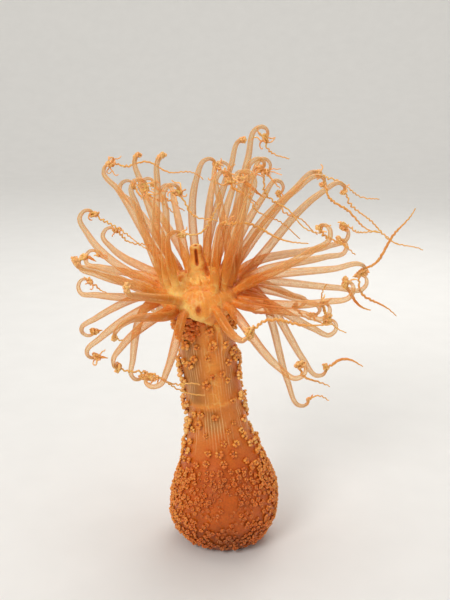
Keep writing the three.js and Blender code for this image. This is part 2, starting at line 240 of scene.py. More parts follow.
PROFILE = body_profile()
PROFILE_GONE = gone_along(PROFILE)
PROFILE_SLOPE = unit(np.gradient(PROFILE, PROFILE_GONE, axis=0))
BODY_LENGTH = PROFILE_GONE[-1]  # down the skin, from the mouth to the middle of the foot


def profile_at(far):
    """Radius and height of the skin, and its slope, at a distance down it from the mouth."""
    return [np.interp(far, PROFILE_GONE, column) for column in (*PROFILE.T, *PROFILE_SLOPE.T)]


def nearest_far(radius, height):
    return PROFILE_GONE[np.argmin(np.hypot(PROFILE[:, 0] - radius, PROFILE[:, 1] - height))]


LIPS_FAR = nearest_far(LIPS_RADIUS, DISC_TOP + MOUTH_HEIGHT)
CONE_FAR = nearest_far(MOUTH_RADIUS, DISC_TOP)
RING_FAR = nearest_far(MOUTH_RADIUS + 2, DISC_TOP + RING_HEIGHT)
CROWN_TOP = nearest_far(*collar_point(CROWN_TOP_TILT))
CROWN_LOW = nearest_far(*collar_point(CROWN_LOW_TILT))


def turn_angle(turn):
    """Degrees from the front, between -180 and 180."""
    return (np.asarray(turn) * 360 + 180) % 360 - 180


def fold_share(turn, height):
    """1 on the crest of the fold, falling to 0 beside it and towards its lower end."""
    run = flowing(FOLD, 1.5)
    across = np.radians(turn_angle(turn)[:, None] - run[:, 0]) * FOLD_RADIUS
    near = np.hypot(across, height[:, None] - run[:, 1]).min(1)
    return hill(0, FOLD_WIDTH, near) * smooth(154, 184, height)


def sheet_share(turn, height):
    """1 where smooth flesh bridges from the collar to the column, at the front above the fold."""
    angle = turn_angle(turn)
    edge = np.interp(angle, FOLD[:, 0], FOLD[:, 1])
    return hill(30, 30, angle) * smooth(-5, 1, height - edge) * (1 - smooth(184, 194, height))


def slit_share(turn, far, radius):
    """1 where the mouth's slit runs down the front of its cone."""
    start, stop = LIPS_FAR + SLIT_RUN[0], LIPS_FAR + SLIT_RUN[1]
    angle = turn_angle(turn)
    down = between((start - 1, start + 1), (stop - 1, stop + 1), far)
    return down * hill(0, SLIT_SOFT, np.radians(angle) * radius) * (np.abs(angle) < 90)


def crown_ridges(places):
    """The lumps and hollows of the crown's flesh, from about -1 to 1."""
    return 0.7 * lumps(places, 6.5, 2) + 0.45 * lumps(places, 3.2, 7)


def body_skin(turn, far):
    """Places on the body's skin, with the directions out of it, at turns round it and distances down it."""
    turn, far = np.broadcast_arrays(np.asarray(turn, float), np.asarray(far, float))
    radius, height, slope_out, slope_up = profile_at(far)
    middle, along, across, front = axis_frame(height)
    narrow = np.interp(far, [LIPS_FAR * 0.72, LIPS_FAR], [SLIT_WIDTH / SLIT_LENGTH, 1])
    angle = turn * TURN
    out = across * np.sin(angle)[:, None] + front * np.cos(angle)[:, None]
    flat = across * (np.sin(angle) * narrow)[:, None] + front * np.cos(angle)[:, None]
    radius = radius + SAG * np.maximum(0, -np.sin(angle)) ** 2 * hill(SAG_HEIGHT, SAG_SPREAD, height)
    places = middle + flat * radius[:, None]
    normals = unit(along * slope_out[:, None] - out * slope_up[:, None])
    return places, normals, radius, height


def body_lift(turn, far, places, radius, height):
    """How far the living skin stands out from its plain turned shape."""
    column = between((60, 85), (176, 184), height)
    crown = smooth(178, 188, height) * smooth(LIPS_FAR, CONE_FAR, far)
    skirt = hill(2.5, 2.5, height) * (radius > FOOT_RADIUS * 0.9)
    around = turn * TURN
    upright = places * np.array([1, 1, 0.16])
    lift = 0.55 * lumps(places, 16) * smooth(0, 9, height)
    lift += column * 0.45 * lumps(upright, 5, 1) + skirt * 0.45 * lumps(places, 2.6, 3)
    lift += crown * CROWN_LIFT * crown_ridges(places)
    lift += crown * 0.3 * np.cos(around * PLEATS + 5 * lumps(places, 9, 8)) * lumps(places, 8, 9)
    lift += RING_LIFT * hill(RING_FAR, 4, far) * np.cos(around * RING_FOLDS + 5 * lumps(places, 11, 12))
    lift += SHEET_LIFT * sheet_share(turn, height) + FOLD_LIFT * hill(COLUMN_FOLD, 2, height)
    lift += FOLD_HEIGHT * fold_share(turn, height) * smooth(CONE_FAR, CROWN_TOP, far)
    for level, width, depth in NOTCHES:
        lift -= depth * hill(level, width, height)
    return lift - SLIT_SINK * slit_share(turn, far, radius)


def living_skin(turns, fars):
    """Places on the body's skin with its lumps and folds, and the directions out of it."""
    places, normals, radius, height = body_skin(turns, fars)
    lift = body_lift(turns, fars, places, radius, height)
    places = places + normals * lift[:, None]
    places[:, 2] = np.maximum(places[:, 2], 0)
    return places, normals


# ---- the arms' lines, read from the solids
def solid_rings(name):
    """Middle and radius of each ring of an arm's solid, from one end to the other."""
    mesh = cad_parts[name].data
    places = np.array([vertex.co for vertex in mesh.vertices]) / MM
    corners, number = np.unique(places.round(3), axis=0, return_inverse=True)
    number = number.ravel()
    beside = [set() for _ in corners]
    for face in mesh.polygons:
        around = {number[index] for index in face.vertices}
        for index in around:
            beside[index] |= around - {index}
    tip = next(
        index for index, others in enumerate(beside)
        if lengths(corners[list(others)].mean(0) - corners[index]) < FLAT_TIP)
    seen, layer, rings = {tip}, {tip}, []
    while True:
        layer = set().union(*(beside[index] for index in layer)) - seen
        if len(layer) < 3:
            break
        seen |= layer
        ring = corners[sorted(layer)]
        middle = ring.mean(0)
        rings.append((middle, lengths(ring - middle).mean()))
    return np.array([middle for middle, _ in rings]), np.array([radius for _, radius in rings])


CROWN_MIDDLE, *CROWN_WAYS = (part[0] for part in axis_frame(COLLAR_HEIGHT))


FLAT_TIP = 0.02  # how far the middle of a solid's end lies from the middle of its ring, at most
HIGH_KNOT = 262  # height above which the knots are larger and more tangled,
HIGH_RIGHT = 45  # but for those further to the right than this
HOLE_MOST = 3.35  # radius of the hole that an arm grows from
HOLE_GAP = 0.12  # half the skin between two of them, at least


class Arm:
    """One arm: where it grows from the collar, and the middles and radii of its solid's rings."""

    def __init__(self, name):
        points, radii = solid_rings(name)
        if lengths(points[0] - CROWN_MIDDLE) > lengths(points[-1] - CROWN_MIDDLE):
            points, radii = points[::-1], radii[::-1]
        if radii[0] < ROOT_LEAST:
            points, radii = points[::-1], radii[::-1]
        count = len(points) - (radii < THREAD_MOST).sum()
        self.body, self.radii, self.thread = points[:count], radii[:count], points[count:]
        self.high = self.body[-1][2] > HIGH_KNOT and self.body[-1][0] < HIGH_RIGHT
        up, across, front = (way @ (points[0] - CROWN_MIDDLE) for way in CROWN_WAYS)
        self.turn = (math.atan2(across, front) / TURN) % 1
        tilt = math.degrees(math.atan2(up, math.hypot(across, front) - COLLAR_RING))
        self.far = nearest_far(*collar_point(tilt))
        self.root, self.normal, _, _ = (part[0] for part in body_skin([self.turn], [self.far]))


ARMS = [Arm(name) for name in sorted(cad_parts) if name.startswith("tentacle_")]
ROOTS = np.array([arm.root for arm in ARMS])
for arm in ARMS:
    spacing = np.sort(lengths(ROOTS - arm.root))[1]
    arm.hole = min(HOLE_MOST, spacing / 2 - HOLE_GAP)


# ---- a mesh that is gathered piece by piece
PLAIN = (0, 0, 0, 0)  # how clear, orange, yellow and red-brown it looks, from 0 to 1


class Gathering:
    """Vertices, each with a chart, a turn round it, a distance down it and its looks, and faces."""

    def __init__(self):
        self.columns = [[] for _ in range(5)]
        self.faces = []
        self.count = 0

    def add(self, places, chart, turns, fars, looks=PLAIN):
        places = np.atleast_2d(places)
        size = len(places)
        shapes = ((size, 3), size, size, size, (size, 4))
        for column, values, shape in zip(self.columns, (places, chart, turns, fars, looks), shapes):
            column.append(np.broadcast_to(values, shape).astype(float))
        self.count += size
        return np.arange(self.count - size, self.count)

    def joined(self):
        """All the places, charts, turns, distances and looks."""
        return [np.concatenate(column) for column in self.columns]

    def ring(self, count, centre, radius, side, other, chart, far, looks=PLAIN):
        """Adds a round ring, which runs from one direction towards another."""
        turns = np.arange(count) / count
        around = np.outer(np.cos(turns * TURN), side) + np.outer(np.sin(turns * TURN), other)
        return self.add(centre + radius * around, chart, turns, far, looks)

    def chain(self, rings):
        """Joins rings that each have as many vertices as the one before, or half as many."""
        for one, other in zip(rings, rings[1:]):
            size, ratio = len(one), len(one) // len(other)
            for k in range(size):
                near, far = k // ratio, (k + 1) // ratio
                face = one[k], one[(k + 1) % size], other[far % len(other)], other[near]
                self.faces.append(face if near < far else face[:3])

    def cap(self, ring, *middle):
        """Closes a ring with a fan round one more vertex, which is given as for add."""
        middle, = self.add(*middle)
        self.faces += [(ring[k], ring[(k + 1) % len(ring)], middle) for k in range(len(ring))]


skin = Gathering()
BODY_CHART = 0


# ---- the skin of the body
SLIT_START = 1.1  # the first ring's distance from the middle of the slit's bottom
FOOT_STOP = BODY_LENGTH - 3
BODY_TURNS = np.arange(SIDES) / SIDES


def on_body(turns, fars):
    return skin.add(living_skin(turns, fars)[0], BODY_CHART, turns % 1, fars)


def body_rings(fars):
    """A length of the body's skin. Returns its first and its last ring."""
    rings = [on_body(BODY_TURNS, np.full(SIDES, far)) for far in fars]
    skin.chain(rings)
    return rings[0], rings[-1]


def make_body():
    """The mouth, the disc and all below the collar. Returns the rings that face the roots' zone."""
    upper = np.concatenate([spaced(SLIT_START, LIPS_FAR, 0.7), spaced(LIPS_FAR, CROWN_TOP, 1.3)[1:]])
    slit, top = body_rings(upper)
    skin.cap(slit, body_skin([0], [0])[0], BODY_CHART, 0.5, 0)
    low, foot = body_rings(spaced(CROWN_LOW, FOOT_STOP, ROW))
    skin.cap(foot, body_skin([0], [BODY_LENGTH])[0], BODY_CHART, 0.5, BODY_LENGTH)
    return top, low


# The roots' zone is meshed on a flat map, drawn so that small circles stay round.
ZONE_FARS = np.linspace(CROWN_TOP, CROWN_LOW, 300)
ZONE_SLOW = 1 / profile_at(ZONE_FARS)[0]
ZONE_LOG = np.concatenate([[0], np.cumsum((ZONE_SLOW[1:] + ZONE_SLOW[:-1]) / 2 * np.diff(ZONE_FARS))])
ROOT_MARGIN = 0.5  # kept free of other vertices round each root


def crown_map(turns, fars):
    size = np.exp(np.interp(fars, ZONE_FARS, ZONE_LOG))
    return np.column_stack([size * np.cos(turns * TURN), size * np.sin(turns * TURN)])


def make_crown(top, low):
    """The skin between the arms' roots. Returns each arm's ring of vertices."""
    rows = spaced(CROWN_TOP, CROWN_LOW, CROWN_ROW)[1:-1]
    turns = np.concatenate([(np.arange(SIDES) + row % 2 / 2) / SIDES for row in range(len(rows))])
    fars = np.repeat(rows, SIDES)
    places = body_skin(turns, fars)[0]
    free = np.ones(len(places), bool)
    for arm in ARMS:
        free &= lengths(places - arm.root) > arm.hole + ROOT_MARGIN
    turns, fars = turns[free], fars[free]
    loose = on_body(turns, fars)
    groups = [top, low]
    flat = [crown_map(BODY_TURNS, np.full(SIDES, far)) for far in (CROWN_TOP, CROWN_LOW)]
    around = np.arange(ARM_SIDES) / ARM_SIDES * TURN
    for arm in ARMS:
        down = arm.far + arm.hole * np.sin(around)
        hole = arm.turn + arm.hole * np.cos(around) / profile_at(down)[0] / TURN, down
        groups.append(on_body(*hole))
        flat.append(crown_map(*hole))
    edges, owner = [], []
    for number, group in enumerate(groups):
        start, size = len(owner), len(group)
        edges += [(start + k, start + (k + 1) % size) for k in range(size)]
        owner += [number] * size
    owner += [-1] * len(loose)
    index = np.concatenate(groups + [loose])
    flat = np.vstack(flat + [crown_map(turns, fars)])
    _, _, faces, sources, *_ = delaunay_2d_cdt([Vector(place) for place in flat], edges, [], 0, 1e-9)
    for face in faces:
        corners = [sources[corner][0] for corner in face]
        owners = {owner[corner] for corner in corners}
        # a face with all its corners on one ring fills a hole, unless that ring is the outermost
        if len(owners) > 1 or owners <= {-1, 1}:
            skin.faces.append(tuple(index[corner] for corner in corners))
    return groups[2:]


# ---- the skin of the arms
ROOT_RADII = (3.0, 2.95)
ROOT_RISE = 3  # how far an arm's line runs straight out of the skin
FILLET = 1.3  # how soon a root narrows to its arm
ROOT_STOPS = (0.45, 1.0, 1.7, 2.6, 3.8, 5.4)
HOOK_END = 0.9  # radius of the tube where its knot starts
SLIM_RUN = 17  # over which the tube's end narrows on its own
SLIM_SHARE = 0.12  # and by how much of its radius
CLUB_RINGS = ((0.42, 0.88), (0.78, 0.58))  # height and width of the rings that round off a club
TANGLE_CORD = 0.8
TANGLE_SIZE = 2.3
HIGH_TANGLE = 1.3  # how much larger it is on a high knot
THREAD_START = 0.64
THREAD_END = 0.4
THREAD_PLUMP = (-0.7, 0.85)  # added half way along a thread that is drawn in; less than 0 is none
CORKSCREW_PITCH = 3.4
CORKSCREW_WIDE = 0.6
CORKSCREW_FINE = 0.16
SWAY = 2.2  # of a thread's slow bends
TUBE_SWELL = 0.1  # by which the living tube is wider than its solid
TUBE_POINTS = 5  # of the solid's rings, along the tube before its hook


def tangle(middle, size):
    """Points of a cord that is wound into a loose ball."""
    rounds = chance.uniform(2.6, 4.4)
    stretch = chance.uniform(0.55, 1.7, 3)
    t = np.linspace(0, 1, int(rounds * 9))
    swing = chance.uniform(0, TURN, 3)
    rates = chance.uniform(0.75, 1.25, 3) * rounds * TURN
    ways = unit(np.column_stack([
        np.sin(rates[0] * t + swing[0]), np.sin(rates[1] * t + swing[1]), np.cos(rates[2] * t + swing[2])]))
    reach = np.sin(math.pi * t) * (0.75 + 0.25 * np.sin(rates[0] * 0.63 * t))
    return middle + ways * stretch * (size * (0.35 + 0.65 * reach))[:, None]


def carried(centres, normal):
    """Two directions square to a line at each of its places, carried along it without twisting."""
    along = unit(np.gradient(centres, axis=0))
    sides = []
    for way in along:
        normal = unit(normal - way * (normal @ way))
        sides.append(normal)
    sides = np.array(sides)
    return sides, np.cross(along, sides)


def crinkled(line, loose):
    """Places along a thread, wound like a corkscrew as wide as it is loose, and finer towards the tip."""
    stops = spaced(0, line.length, THREAD_STEP)
    centres = line.at(stops)
    side, other = carried(centres, np.array([0.3, 0.2, 0.93]))
    share = stops / line.length
    wide = (CORKSCREW_WIDE * (1 - share) + CORKSCREW_FINE * share) * smooth(0, 0.06, share)
    wide = loose * wide * (0.3 + 1.5 * smooth(-0.3, 0.35, lumps(centres, 8, 10)))
    angle = stops / CORKSCREW_PITCH * TURN + 4 * lumps(centres, 6, 11)
    sway = SWAY * smooth(0, 12, stops) * np.sin(stops / chance.uniform(5, 9) + chance.uniform(0, TURN))
    bends = side * (wide * np.cos(angle) + sway)[:, None] + other * (wide * np.sin(angle))[:, None]
    return centres + bends, share


def tube_looks(arm, stops, length):
    """How clear, warm, golden and rusty an arm is at stops along its tube, with painted light near the roots.
    """
    rightward = 0.5 + 0.5 * math.sin(arm.turn * TURN)
    forward = max(0, math.cos(arm.turn * TURN)) ** 2 * hill(0, 60, stops)
    low_root = smooth(CROWN_TOP, CROWN_LOW, arm.far)
    end = smooth(length - 8, length, stops)
    clear = between((2, 19), (length - 8, length - 1), stops)
    warm = 0.08 + 0.52 * np.exp(-((stops / 28) ** 1.5)) + 0.15 * smooth(length - 12, length, stops)
    # painted light: arms pointing forward are warmer and more golden near their roots, and the gold runs
    # further along the arms on the left, where their bases lie in shade
    warm = warm + 0.25 * forward + 0.22 * low_root * hill(0, 30, stops)
    gold = (1 - 0.45 * rightward ** 2) * np.exp(-((stops / (29 - 9 * rightward)) ** 1.6))
    gold = (gold + 0.5 * end + 0.2 * forward) * (1 - 0.5 * low_root)
    rust = 0.08 * rightward ** 2 * hill(9, 9, stops) + 0.4 * low_root * (1 - rightward) * hill(2, 8, stops)
    return np.column_stack([clear, warm, gold, rust])


def arm_rings(arm, root):
    """Middles, radii, side counts and looks of the rings of an arm's skin, beyond the one at its root."""
    radii = np.concatenate([ROOT_RADII, arm.radii[1:]])
    threaded = len(arm.thread) > 0
    if threaded:
        radii[-1] = HOOK_END
    line = Line(np.vstack([[root, root + arm.normal * ROOT_RISE], arm.body[1:]]))
    hook_start = np.interp(TUBE_POINTS + 1, line.numbers, line.gone)
    stops = np.concatenate([
        ROOT_STOPS, spaced(ROOT_STOPS[-1], hook_start, TUBE_STEP)[1:],
        spaced(hook_start, line.length, HOOK_STEP)[1:]])
    centres = line.at(stops)
    tube = np.interp(line.number(stops), np.arange(len(radii)), radii)
    swell = TUBE_SWELL * between((3, 12), (hook_start - 25, hook_start), stops)
    tube = tube * (1 + swell + 0.05 * lumps(centres, 9, 4))
    tube = tube + (arm.hole - tube) * hill(0, FILLET, stops)
    looks = tube_looks(arm, stops, line.length)
    arm.cord_length = 0
    if not threaded:
        return centres, tube, np.full(len(stops), ARM_SIDES), looks
    narrowing = smooth(line.length - SLIM_RUN, line.length - 1, stops)
    tube = tube * (1 - narrowing * (SLIM_SHARE + 0.2 * lumps(centres, 2.6, 14)))
    size = TANGLE_SIZE * chance.uniform(0.7, 1.35) * (HIGH_TANGLE if arm.high else 1)
    cord = flowing(np.vstack([centres[-1], tangle(arm.body[-1], size)]), TANGLE_STEP)[1:]
    arm.cord_length = len(cord) * TANGLE_STEP
    plump = max(0, chance.uniform(*THREAD_PLUMP))
    drawn_in = plump / THREAD_PLUMP[1]
    thread, share = crinkled(Line(np.vstack([cord[-1], arm.thread])), 1 - 0.75 * drawn_in)
    thread, share = thread[1:], share[1:]
    thick = THREAD_START + (THREAD_END - THREAD_START) * share
    thick = thick + plump * np.sin(math.pi * share ** 0.75) ** 1.6 * (1 + 0.35 * lumps(thread, 1.7, 13))
    bright = np.tile((0, 0.3, 0.6, 0), (len(cord), 1))
    middle = drawn_in * np.sin(math.pi * share)
    fading = np.column_stack([
        np.zeros(len(share)), 0.3 + 0.3 * middle, (0.62 - 0.25 * share) * (1 - 0.6 * middle), 0.08 * middle])
    return (np.vstack([centres, cord, thread]),
            np.concatenate([tube, np.linspace(TANGLE_CORD, THREAD_START, len(cord)), thick]),
            np.repeat([ARM_SIDES, THREAD_SIDES], [len(stops), len(cord) + len(thread)]),
            np.vstack([looks, bright, fading]))


def make_arm(arm, chart, hole):
    root = living_skin(np.array([arm.turn]), np.array([arm.far]))[0][0]
    centres, radii, sides, looks = arm_rings(arm, root)
    _, _, across, front = (part[0] for part in axis_frame(profile_at(arm.far)[1]))
    onward = across * math.cos(arm.turn * TURN) - front * math.sin(arm.turn * TURN)
    side, up = carried(np.vstack([root - arm.normal * 0.5, centres]), onward)
    side, other = side[1:], -up[1:]
    fars = gone_along(np.vstack([root, centres]))[1:]
    rows = list(zip(sides, centres, radii, side, other, [chart] * len(fars), fars, looks))
    way = unit(centres[-1] - centres[-2])
    blunt = radii[-1] * 0.75
    if sides[-1] == ARM_SIDES:
        rows += [(ARM_SIDES, centres[-1] + way * blunt * sink, narrow * radii[-1], side[-1], other[-1], chart,
                  fars[-1] + sink, looks[-1]) for sink, narrow in CLUB_RINGS]
    arm.rings = [hole] + [skin.ring(*row) for row in rows]
    skin.chain(arm.rings)
    skin.cap(arm.rings[-1], centres[-1] + way * blunt, chart, 0.5, fars[-1] + 1, looks[-1])
    arm.centres, arm.wide, arm.fars, arm.sides = centres, radii, fars, sides


def softened(places, faces, chosen, rounds):
    """The places with the chosen vertices drawn towards the middle of those beside them."""
    pairs = np.array([(face[k], face[k - 1]) for face in faces for k in range(len(face))])
    pairs = pairs[chosen[pairs].any(1)]
    both = np.vstack([pairs, pairs[:, ::-1]])
    beside = np.bincount(both[:, 0], minlength=len(places))
    for _ in range(rounds):
        total = np.column_stack([
            np.bincount(both[:, 0], weights=places[both[:, 1], k], minlength=len(places)) for k in range(3)])
        mean = total / np.maximum(beside, 1)[:, None]
        places = np.where((chosen & (beside > 0))[:, None], places * 0.5 + mean * 0.5, places)
    return places


# ---- the looks of the body's skin
def painted_shade_share(turns, fars):
    """1 where the column's wall gets painted shade, darker and greyer as if a dark background showed through
    it: beside its front, and in a patch under its fold.
    """
    height = profile_at(fars)[1]
    angle = turn_angle(turns)
    left = hill(-40, 25, angle) * between((COLUMN_FOLD - 1, COLUMN_FOLD + 3.5), (162, 176), height)
    right = 0.4 * hill(46, 15, angle) * between((COLUMN_FOLD + 2, COLUMN_FOLD + 10), (160, 170), height)
    below = 0.8 * hill(-7, 16, angle) * between((90, 102), (COLUMN_FOLD - 6.5, COLUMN_FOLD - 2), height)
    return left + right + below


def body_looks(turns, fars):
    """How clear, warm, golden and rusty the body's skin is, with painted shade and painted highlights among
    these.
    """
    places, _, radius, height = body_skin(turns, fars)
    angle = turn_angle(turns)
    cloud = lumps(places, 9, 5)
    fine = lumps(places, 3.5, 6)
    ridges = crown_ridges(places)

    # zones of the body
    bulb = 1 - smooth(54, 106, height)
    # painted shade low on the front, near the floor
    low_front_shade = (1 - smooth(8, 34, height)) * hill(0, 70, angle)
    band = hill(6, 20, angle) * between((108, 116), (176, 184), height)
    band = np.maximum(band, 1.35 * hill(COLUMN_FOLD, 2.5, height) * hill(-4, 50, angle))
    left = hill(-50, 34, angle)
    right = hill(68, 20, angle)
    under = between((166, 176), (188, 197), height) * smooth(-0.6, 0.1, fine)
    crown = smooth(172, 186, height)
    middle = smooth(182, 190, height) * (0.5 + 0.5 * np.cos(np.radians(angle + 22)))
    inside = 1 - smooth(CONE_FAR + 4, CROWN_TOP + 9, fars)
    fold = fold_share(turns, height)
    sheet = sheet_share(turns, height)
    ring = hill(RING_FAR, 5, fars)
    # painted light: the mouth's cone is made warmer and more golden, where the arms round it shade it
    cone = 1 - smooth(CONE_FAR - 3, CONE_FAR + 3, fars)
    throat = 1 - smooth(LIPS_FAR - 2, LIPS_FAR - 0.5, fars)
    spot = hill(SPOT[0], 3, angle) * hill(SPOT[1], 2.2, height) * (fars > CROWN_TOP)

    warm = 0.5 + 0.25 * band + 0.1 * bulb + 0.1 * cloud
    warm = warm * (1 - crown) + (0.72 + 0.16 * cloud) * crown + 0.15 * cone
    # the crown's yellow is partly its own and partly painted highlight, stronger on the raised ridges of its
    # flesh, as on the sheet below
    gold = np.maximum(middle, inside * 0.8) * (0.62 + 0.55 * ridges) * (1 - 0.5 * sheet)
    # the fold's crest: its own yellow, with a painted highlight along the top that turns cream where
    # strongest
    gold += 0.95 * fold * (1 - 0.65 * smooth(0, 24, angle))
    gold += 0.45 * band + 0.2 * sheet * (1 + ridges) + 0.35 * ring + 0.36 * cone
    rust = 0.4 * under * (left + 0.6 * right) * (1 - fold) * (1 - sheet)
    # the ball's own red-brown, and painted shade low on the front near the floor
    rust += 0.62 * bulb * (0.9 + 0.4 * cloud) + 0.75 * low_front_shade
    rust += 0.28 * right * smooth(95, 125, height)
    # painted shade: red-brown laid into the hollows between the crown's ridges
    rust += 0.3 * crown * smooth(0.25, 0.8, -ridges) * (1 - fold)
    rust += 0.9 * spot + 1.4 * slit_share(turns, fars, radius) + 1.2 * throat
    gold = gold * (1 - np.clip(rust, 0, 1))
    return np.column_stack([np.zeros(len(fars)), warm, gold, rust]).clip(0, 1)


# ---- meshes from what was gathered
BODY_MAP = (0.005, 0.46, 0.005, 0.985)  # left, width, bottom and height of the body's chart
ARMS_MAP_LEFT = 0.485
ARM_MAP_STEP = 0.0096  # from one arm's chart to the next
ARM_MAP_WIDTH = 0.0088 / 1.09  # of a whole turn, which leaves room for the face across the seam
LONGEST_ARM = 260  # millimetres of arm and thread to the height of the chart
BODY_LINES = 64  # pale lines round the body's wall
ARM_LINES = 5  # and round an arm's
SOFT_RINGS = 5  # of each arm, at its root, that are blended into the body
SOFT_ROUNDS = 3


def chart_place(charts, turns, fars):
    """Where a place on the skin lies on its unwrapped map."""
    left, width, bottom, height = BODY_MAP
    on_body = np.column_stack([left + turns * width, bottom + fars / BODY_LENGTH * height])
    on_arm = np.column_stack([
        ARMS_MAP_LEFT + (charts - 1) * ARM_MAP_STEP + turns * ARM_MAP_WIDTH,
        bottom + fars / LONGEST_ARM * height])
    return np.where((charts == BODY_CHART)[:, None], on_body, on_arm)


def placed(name, data):
    """An object in the scene."""
    made = bpy.data.objects.new(name, data)
    bpy.context.scene.collection.objects.link(made)
    return made


def column_of(items, key):
    values = np.zeros(len(items), int)
    items.foreach_get(key, values)
    return values


def make_mesh(name, places, faces, layers=(), values=()):
    """A smooth mesh in metres, with UV maps and a number at each vertex for each of its values."""
    mesh = bpy.data.meshes.new(name)
    mesh.from_pydata((places * MM).tolist(), [], faces)
    mesh.polygons.foreach_set("use_smooth", np.ones(len(mesh.polygons), bool))
    corner = column_of(mesh.loops, "vertex_index")
    for layer, make in dict(layers).items():
        mesh.uv_layers.new(name=layer).uv.foreach_set("vector", make(mesh, corner).astype(np.float32).ravel())
    for key, value in dict(values).items():
        mesh.attributes.new(key, "FLOAT", "POINT").data.foreach_set("value", value.astype(np.float32))
    mesh.update()
    return placed(name, mesh)


def unrolled(mesh, corner, turns):
    """Each corner's turn, with a whole turn added where its face crosses the chart's seam."""
    starts, sizes = (column_of(mesh.polygons, key) for key in ("loop_start", "loop_total"))
    around = turns[corner]
    spread = np.maximum.reduceat(around, starts) - np.minimum.reduceat(around, starts)
    return around + (np.repeat(spread > 0.5, sizes) & (around < 0.5))


def make_skin():
    holes = make_crown(*make_body())
    for number, (arm, hole) in enumerate(zip(ARMS, holes)):
        make_arm(arm, number + 1, hole)
    places, charts, turns, fars, looks = skin.joined()
    body = charts == BODY_CHART
    looks[body] = body_looks(turns[body], fars[body])
    near_root = np.zeros(len(places), bool)
    for arm in ARMS:
        near_root[np.concatenate(arm.rings[:SOFT_RINGS])] = True
    places = softened(places, skin.faces, near_root, SOFT_ROUNDS)

    def bake_map(mesh, corner):
        return chart_place(charts[corner], unrolled(mesh, corner, turns), fars[corner])

    def line_map(mesh, corner):
        count = np.where(charts[corner] == BODY_CHART, BODY_LINES, ARM_LINES)
        return np.column_stack([unrolled(mesh, corner, turns) * count, fars[corner] / 10])

    values = dict(zip(("clear", "warm", "gold", "rust"), looks.T))
    # painted shade on the column's wall
    values["painted_shade"] = np.zeros(len(places))
    values["painted_shade"][body] = painted_shade_share(turns[body], fars[body])
    piece = make_mesh("anemone_skin", places, skin.faces, {"OFBake": bake_map, "lines": line_map}, values)
    work = bmesh.new()
    work.from_mesh(piece.data)
    bmesh.ops.recalc_face_normals(work, faces=work.faces)
    work.to_mesh(piece.data)
    work.free()
    return piece


# ---- granules
GRANULE_SIDES = 5
GRANULE_RINGS = ((0.64, 0.77), (0.98, 0.17), (0.8, -0.6))  # radius and height of a ball's rings
PATCH = 0.003  # of the map, round the place where a granule or a finger grows


def listed(middles, ways, *others):
    """A table of granules: middle, way, size, tone, chart, turn and distance down the skin of each."""
    return np.column_stack([middles, ways] + [np.broadcast_to(value, len(middles)) for value in others])


def square_to(ways):
    """Two directions square to each way."""
    guess = np.where(np.abs(ways[:, 2:]) < 0.9, [[0, 0, 1.0]], [[1.0, 0, 0]])
    side = unit(np.cross(ways, guess))
    return side, np.cross(ways, side)


def granule_shape():
    """The vertices and triangles of one small ball, open where it sinks into what it stands on."""
    shape, corners = [(0, 0, 1)], []
    for wide, high in GRANULE_RINGS:
        for k in range(GRANULE_SIDES):
            angle = (k + (high < 0.5) / 2) / GRANULE_SIDES * TURN
            shape.append((wide * math.cos(angle), wide * math.sin(angle), high))
    for k in range(GRANULE_SIDES):
        onward = (k + 1) % GRANULE_SIDES
        corners.append((0, 1 + k, 1 + onward))
        for one in range(1, len(shape) - GRANULE_SIDES, GRANULE_SIDES):
            two = one + GRANULE_SIDES
            corners += [(one + k, two + k, one + onward), (one + onward, two + k, two + onward)]
    return np.array(shape, float), np.array(corners)


def make_granules(name, tables):
    """Many small balls as one mesh, each with a tone and a patch of the skin's chart."""
    table = np.vstack(tables)
    middles, ways = table[:, :3], table[:, 3:6]
    sizes, tones, charts, turns, fars = table[:, 6:].T
    side, other = square_to(ways)
    shape, corners = granule_shape()
    count = len(table)
    places = middles[:, None] + sizes[:, None, None] * (
        side[:, None] * shape[:, :1] + other[:, None] * shape[:, 1:2] + ways[:, None] * shape[:, 2:])
    faces = (corners[None] + (np.arange(count) * len(shape))[:, None, None]).reshape(-1, 3)
    flat = np.tile(shape[:, :2] * PATCH / 2, (count, 1))
    root = chart_place(charts, turns, fars)

    def bake_map(mesh, corner):
        return (np.repeat(root, len(shape), axis=0) + flat)[corner]

    return make_mesh(name, places.reshape(-1, 3), faces.tolist(), {"OFBake": bake_map},
                     {"tone": np.repeat(tones, len(shape))})


# ---- berries: a dark heart with a ring of pale granules round it, all standing on the skin
BULB_PITCH = 4.2
COLUMN_PITCH = 8.8
ROW_PITCH = 0.86  # between rows of berries, as a share of the pitch along them
BULB_BERRY = 2.0  # radius of a berry
COLUMN_BERRY = 3.1
BERRY_LOW = 5
BERRY_HIGH = 184
BASE_TOP = 30  # height up to which they belong to the piece berries_base
BARE = 0.45  # fewer berries on the front of the ball, as a share
LEFT_EDGE = (-85, 35)  # angle and width of the column's left edge, with its larger berries, which are also painted paler
COLLAR_BERRIES = 70  # tried at random under the arms, where there is room between the roots
LEFT_PATCH, RIGHT_PATCH = (-85, -8), (38, 80)  # the angles that they lie between
PATCH_HEIGHTS = (166, 187)
PATCH_SIZES = (1.8, 2.5)
LEFT_MORE = 0.65  # share of them on the left
ROOT_GAP = 6  # from a berry there to a root, at least
BERRY_GAP = 4.4  # and to another berry
BASE_DARKER = 0.28  # share by which the berries of the base are darker
FRONT_DARKER = 0.3  # and those at the front of it again
LOW_DARKER = 0.3  # and those low down at the front, a painted shade near the floor
RUDDY = 0.35  # share by which the collar's berries on the left are redder
TOP_BERRIES = ((11, 173, 3.3), (13, 163, 3.5), (-24, 168, 2.9))  # large ones: angle, height and size


